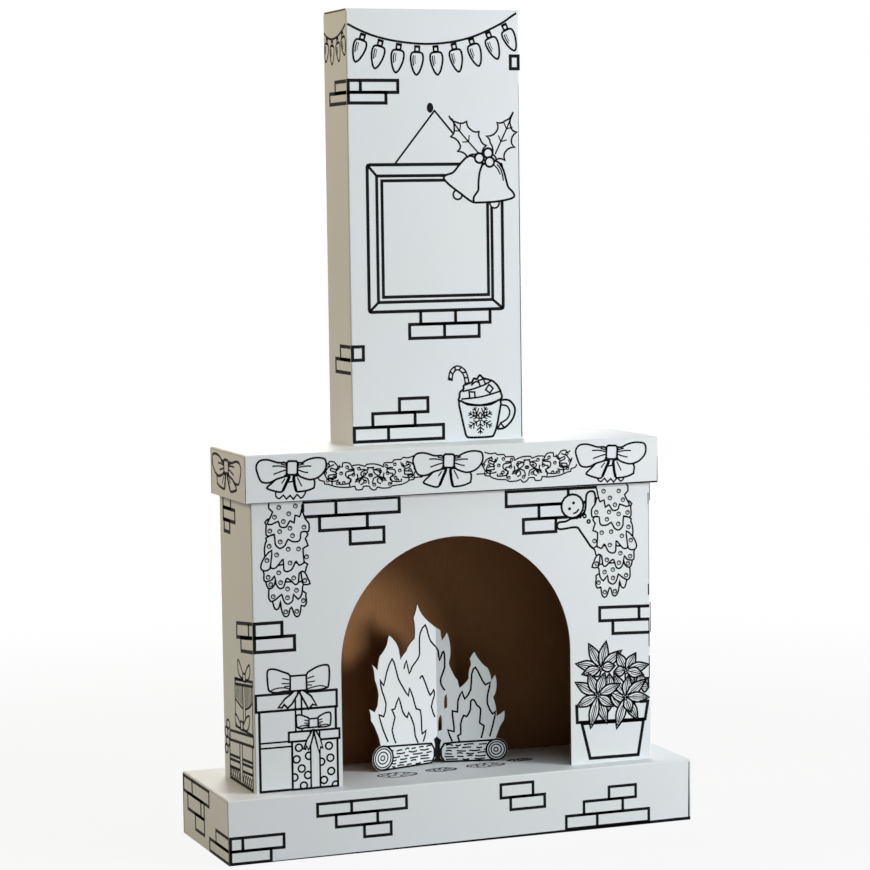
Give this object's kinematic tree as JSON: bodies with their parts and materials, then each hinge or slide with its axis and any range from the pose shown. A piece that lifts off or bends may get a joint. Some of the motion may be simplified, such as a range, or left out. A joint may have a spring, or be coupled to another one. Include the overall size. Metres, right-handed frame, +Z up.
{
  "type": "cardboard toy fireplace",
  "caption": "Free-standing toy fireplace of folded corrugated board: hearth, arched surround, mantel, chimney and standing flame cut-out, printed with line drawings to colour in.",
  "frame": {"origin": "centre of the hearth's foot, on the floor", "axes": "+Z up, -Y out of the arched front, +X to the viewer's right"},
  "size_m": [0.78, 0.252, 1.305],
  "materials": {
    "printed_board": "matt",
    "flame_board": "matt",
    "kraft_board": "matt",
    "black_print": "matt"
  },
  "bodies": {
    "root": {"hearth": "printed_board", "surround": "printed_board", "mantel": "printed_board", "chimney": "printed_board", "flames": "flame_board"}
  },
  "joints": []
}
